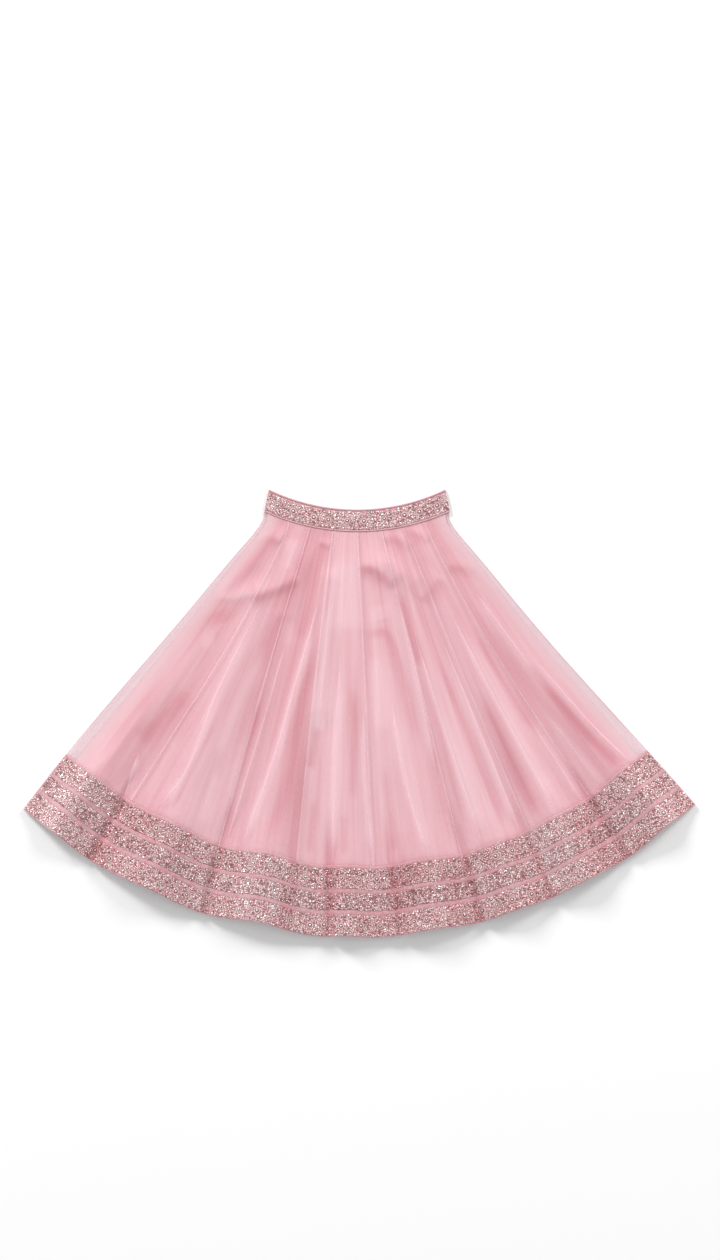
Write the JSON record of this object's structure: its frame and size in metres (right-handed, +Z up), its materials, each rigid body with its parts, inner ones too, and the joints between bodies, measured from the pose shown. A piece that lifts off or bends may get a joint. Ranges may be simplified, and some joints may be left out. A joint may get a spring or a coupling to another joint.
{
  "type": "lehenga skirt laid flat",
  "caption": "Flared ankle-length lehenga skirt in sheer net over a plain lining, laid flat, with an embroidered waistband and a deep banded border.",
  "frame": {"origin": "middle of the skirt's outline, on the surface that it lies on", "axes": "+X to the skirt's right in the picture, along the hem; +Y from the hem to the waist; +Z up from the surface, out of the front"},
  "size_m": [1.5942, 1.0636, 0.0302],
  "materials": {
    "net": "sheer soft net",
    "lining": "plain satin",
    "embroidery": "net covered with beads and sequins",
    "ribbon": "satin"
  },
  "bodies": {
    "root": {"kali_front_1": "net", "kali_front_2": "net", "kali_front_3": "net", "kali_front_4": "net", "kali_front_5": "net", "kali_front_6": "net", "kali_front_7": "net", "kali_front_8": "net", "lining_front": "lining", "border_band_upper_front": "embroidery", "border_band_middle_front": "embroidery", "border_band_lower_front": "embroidery", "waistband_front": "embroidery", "border_binding_front": "ribbon", "border_ribbon_upper_front": "ribbon", "border_ribbon_lower_front": "ribbon", "hem_binding_front": "ribbon", "waist_binding_front": "ribbon", "waist_tape_front": "ribbon", "kali_back_1": "net", "kali_back_2": "net", "kali_back_3": "net", "kali_back_4": "net", "kali_back_5": "net", "kali_back_6": "net", "kali_back_7": "net", "kali_back_8": "net", "lining_back": "lining", "border_band_upper_back": "embroidery", "border_band_middle_back": "embroidery", "border_band_lower_back": "embroidery", "waistband_back": "embroidery", "border_binding_back": "ribbon", "border_ribbon_upper_back": "ribbon", "border_ribbon_lower_back": "ribbon", "hem_binding_back": "ribbon", "waist_binding_back": "ribbon", "waist_tape_back": "ribbon"}
  },
  "joints": []
}
